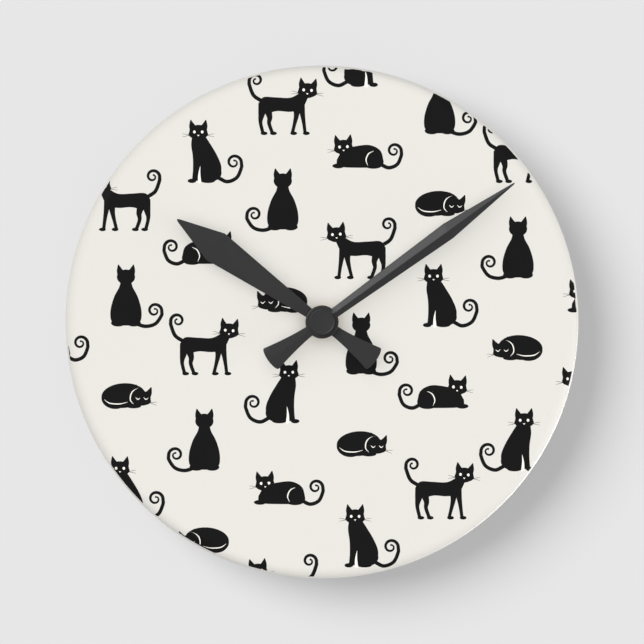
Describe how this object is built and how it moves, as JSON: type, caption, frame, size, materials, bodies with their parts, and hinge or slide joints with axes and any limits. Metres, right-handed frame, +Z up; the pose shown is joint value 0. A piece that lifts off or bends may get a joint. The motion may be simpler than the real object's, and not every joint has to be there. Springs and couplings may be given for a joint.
{
  "type": "wall clock",
  "caption": "Round frameless wall clock: printed face disc with an all-over cat and curly tail pattern, lance hands and a geared battery movement with a hanger loop.",
  "frame": {"origin": "on the wall plane, where the axis of the hands meets it: the middle of the movement's flat back", "axes": "+Z up, +X to the right as the face is read, +Y into the wall; the face looks along -Y"},
  "size_m": [0.2032, 0.0333, 0.2032],
  "materials": {
    "face_ivory": "satin acrylic, printed",
    "hand_black": "satin black lacquer on aluminium",
    "black_plastic": "moulded, fine texture",
    "rubber": "matte",
    "brass": "turned",
    "steel": "stamped",
    "magnet": "dark sintered",
    "copper_wire": "enamelled winding wire",
    "white_plastic": "natural moulded",
    "board_green": "solder mask",
    "chip_black": "cured resin",
    "battery_jacket": "plain film jacket"
  },
  "bodies": {
    "movement": {"face_disc": "face_ivory", "rubber_gasket": "rubber", "face_washer": "brass", "hex_nut": "brass", "threaded_bush": "brass", "movement_case": "black_plastic", "back_cover": "black_plastic", "middle_plate": "white_plastic", "hanger_loop": "black_plastic", "contact_positive": "steel", "contact_negative": "steel", "stator": "steel", "coil_core": "steel", "coil_winding": "copper_wire", "circuit_board": "board_green", "clock_chip": "chip_black", "quartz_can": "steel"},
    "minute": {"minute_hand": "hand_black", "hand_cap": "hand_black", "minute_arbor": "brass", "centre_wheel": "white_plastic", "clutch_spring": "brass"},
    "hour": {"hour_hand": "hand_black", "hour_wheel": "brass"},
    "motion": {"motion_wheel": "white_plastic"},
    "knob": {"setting_knob": "black_plastic"},
    "third": {"third_wheel": "white_plastic"},
    "second": {"second_wheel": "white_plastic"},
    "fifth": {"fifth_wheel": "white_plastic"},
    "rotor_body": {"rotor": "magnet"},
    "cell": {"battery": "battery_jacket"}
  },
  "joints": [
    {"name": "minute_turn", "type": "hinge", "parent": "movement", "child": "minute", "pos_m": [0, 0, 0], "axis": [0, 1, 0], "continuous": true},
    {"name": "hour_turn", "type": "hinge", "parent": "movement", "child": "hour", "pos_m": [0, 0, 0], "axis": [0, 1, 0], "continuous": true},
    {"name": "motion_turn", "type": "hinge", "parent": "movement", "child": "motion", "pos_m": [-0.00708, 0, -0.00258], "axis": [0, 1, 0], "continuous": true},
    {"name": "knob_turn", "type": "hinge", "parent": "movement", "child": "knob", "pos_m": [-0.01327, 0, 0.001], "axis": [0, 1, 0], "continuous": true},
    {"name": "third_turn", "type": "hinge", "parent": "movement", "child": "third", "pos_m": [-0.00157, 0, 0.00889], "axis": [0, 1, 0], "continuous": true},
    {"name": "second_turn", "type": "hinge", "parent": "movement", "child": "second", "pos_m": [0.00391, 0, 0.01543], "axis": [0, 1, 0], "continuous": true},
    {"name": "fifth_turn", "type": "hinge", "parent": "movement", "child": "fifth", "pos_m": [0.01217, 0, 0.01242], "axis": [0, 1, 0], "continuous": true},
    {"name": "rotor_turn", "type": "hinge", "parent": "movement", "child": "rotor_body", "pos_m": [0.01668, 0, 0.0046], "axis": [0, 1, 0], "continuous": true},
    {"name": "battery_out", "type": "slide", "parent": "movement", "child": "cell", "axis": [0, 1, 0], "range_m": [0, 0.025]}
  ],
  "couplings": [
    {"joint": "hour_turn", "follows": "minute_turn", "ratio": 0.083333},
    {"joint": "motion_turn", "follows": "minute_turn", "ratio": -0.33333},
    {"joint": "knob_turn", "follows": "minute_turn", "ratio": 1.25},
    {"joint": "third_turn", "follows": "minute_turn", "ratio": -8},
    {"joint": "second_turn", "follows": "minute_turn", "ratio": 60},
    {"joint": "fifth_turn", "follows": "minute_turn", "ratio": -360},
    {"joint": "rotor_turn", "follows": "minute_turn", "ratio": 1800}
  ]
}
